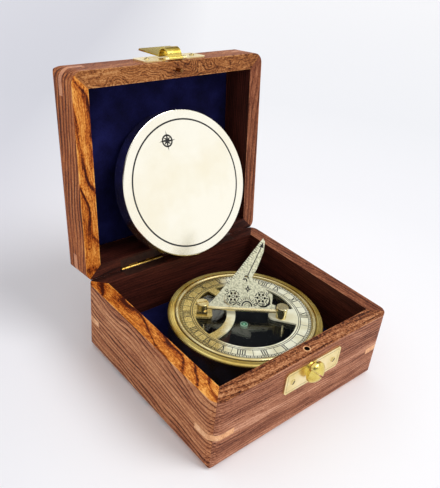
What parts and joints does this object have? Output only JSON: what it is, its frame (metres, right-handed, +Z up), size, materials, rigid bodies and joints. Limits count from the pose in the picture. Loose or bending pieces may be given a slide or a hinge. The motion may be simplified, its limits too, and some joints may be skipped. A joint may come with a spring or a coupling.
{
  "type": "boxed sundial compass",
  "caption": "Hinged wooden box holding a round brass sundial compass with a folding gnomon, floating card and a loose brass cover.",
  "frame": {"origin": "centre of the box's underside", "axes": "+Z up, -Y the front with the catch plate, +X to the right seen from the front; the lid stands open at the back"},
  "size_m": [0.142, 0.1773, 0.1853],
  "materials": {
    "rosewood": "waxed, satin",
    "pale_wood": "satin",
    "velvet": "matt pile",
    "brass": "polished",
    "pale_brass": "satin, engraved",
    "glass": "clear",
    "rubber": "matt",
    "card": "matt black",
    "magnet": "satin",
    "cap": "gloss",
    "steel": "satin"
  },
  "bodies": {
    "base": {"base_front_wall": "rosewood", "base_back_wall": "rosewood", "base_left_wall": "rosewood", "base_right_wall": "rosewood", "base_floor": "rosewood", "base_pad": "velvet", "base_velvet": "velvet", "base_splines": "pale_wood", "rim_bush": "pale_wood", "catch_plate": "brass", "catch_stud": "brass", "catch_screws": "brass", "hinge_lower_leaves": "brass", "hinge_lower_screws": "brass", "hinge_pins": "brass", "compass_case": "brass", "bezel_ring": "brass", "dial_plate": "pale_brass", "glass": "glass", "glass_gasket": "rubber", "pivot": "steel", "left_post": "brass", "right_post": "brass"},
    "lid": {"lid_front_wall": "rosewood", "lid_back_wall": "rosewood", "lid_left_wall": "rosewood", "lid_right_wall": "rosewood", "lid_panel": "rosewood", "lid_velvet": "velvet", "lid_splines": "pale_wood", "lid_dowel": "brass", "clasp_plate": "brass", "clasp_screws": "brass", "clasp_pin": "brass", "hinge_upper_leaves": "brass", "hinge_upper_screws": "brass"},
    "clasp_lever": {"clasp_lever": "brass"},
    "gnomon": {"gnomon_rod": "brass", "gnomon_plate": "pale_brass"},
    "card": {"compass_card": "card", "card_magnets": "magnet", "jewel_cap": "cap"},
    "cover": {"cover": "brass"}
  },
  "joints": [
    {"name": "lid_hinge", "type": "hinge", "parent": "base", "child": "lid", "pos_m": [0, 0.0635, 0.05075], "axis": [1, 0, 0], "range_deg": [0, 96]},
    {"name": "gnomon_fold", "type": "hinge", "parent": "base", "child": "gnomon", "pos_m": [0.00348, -0.00578, 0.0422], "axis": [0.788, -0.6157, 0], "range_deg": [-48, 42]},
    {"name": "card_spin", "type": "hinge", "parent": "base", "child": "card", "pos_m": [0.0044, -0.0046, 0.026], "axis": [0, 0, 1], "continuous": true},
    {"name": "clasp_lever_hinge", "type": "hinge", "parent": "lid", "child": "clasp_lever", "pos_m": [0, 0.07923, 0.17981], "axis": [1, 0, 0], "range_deg": [0, 90]},
    {"name": "cover_lift", "type": "slide", "parent": "base", "child": "cover", "axis": [0, -0.7071, 0.7071], "range_m": [0, 0.84]}
  ],
  "couplings": [
    {"joint": "gnomon_fold", "follows": "lid_hinge", "ratio": -0.5},
    {"joint": "cover_lift", "follows": "lid_hinge", "m_per_rad": 0.5}
  ]
}
